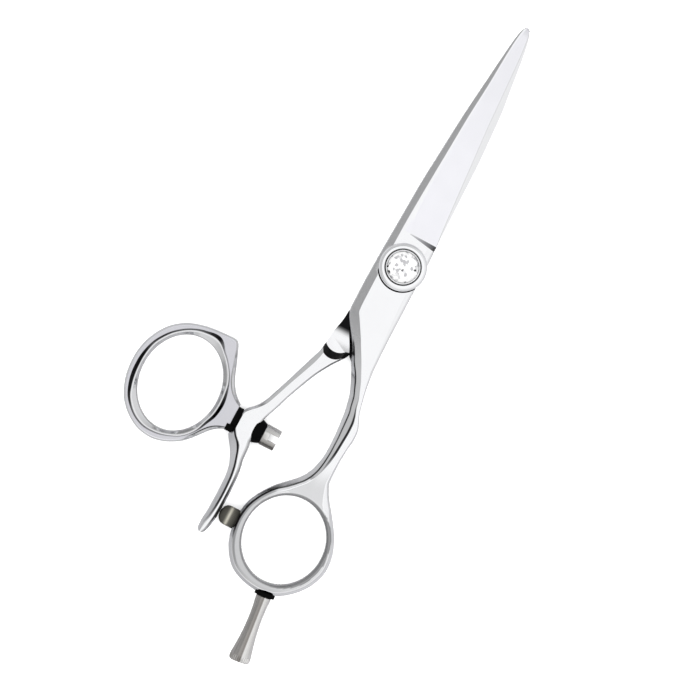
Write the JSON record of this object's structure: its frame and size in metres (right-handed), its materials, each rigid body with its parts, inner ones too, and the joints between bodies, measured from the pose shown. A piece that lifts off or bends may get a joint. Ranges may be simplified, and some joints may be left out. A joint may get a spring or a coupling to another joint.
{
  "type": "hair cutting shears",
  "caption": "Straight-bladed hair cutting shears with a swivelling thumb ring, stop bumper, jewelled tension dial and screw-in finger rest.",
  "frame": {"origin": "on the pivot axis, at the flat underside of the pivot screw's head, on which the shears lie", "axes": "+X towards the blade tips, +Y towards the thumb ring, +Z along the pivot axis towards the crystal"},
  "size_m": [0.1714, 0.0665, 0.0094],
  "materials": {
    "mirror_steel": "mirror-polished stainless steel",
    "bright_chrome": "bright chrome plate",
    "satin_nickel": "turned, nickel-plated steel",
    "white_polymer": "low-friction white polymer",
    "black_nylon": "black nylon, smooth",
    "grey_rubber": "dark olive-grey moulded rubber, fine ribs",
    "bronze": "plain sintered bronze",
    "clear_crystal": "clear cut crystal",
    "mirror_foil": "silvered backing"
  },
  "bodies": {
    "finger_half": {"finger_blade": "mirror_steel", "pivot_screw": "mirror_steel", "ride_washer": "white_polymer", "dial_washer": "mirror_steel", "stop_bumper": "grey_rubber", "bumper_stud": "mirror_steel", "finger_rest": "satin_nickel", "finger_rest_washer": "black_nylon"},
    "thumb_half": {"thumb_blade": "mirror_steel", "pivot_bush": "white_polymer", "swivel_bush": "bronze"},
    "dial": {"tension_dial": "bright_chrome", "tension_spring": "mirror_steel", "crystal_bezel": "bright_chrome", "crystal_foil": "mirror_foil", "crystal": "clear_crystal"},
    "thumb_swivel": {"thumb_ring": "mirror_steel", "swivel_pin": "mirror_steel", "swivel_nut": "satin_nickel", "inner_swivel_washer": "black_nylon", "outer_swivel_washer": "black_nylon"}
  },
  "joints": [
    {"name": "cutting_pivot", "type": "hinge", "parent": "finger_half", "child": "thumb_half", "pos_m": [0, 0, 0.0033], "axis": [0, 0, -1], "range_deg": [0, 90]},
    {"name": "ring_swivel", "type": "hinge", "parent": "thumb_half", "child": "thumb_swivel", "pos_m": [-0.0522, 0.0162, 0.0033], "axis": [0, 1, 0], "continuous": true},
    {"name": "tension_adjust", "type": "hinge", "parent": "finger_half", "child": "dial", "pos_m": [0, 0, 0.007], "axis": [0, 0, 1], "range_deg": [-45, 45]}
  ]
}
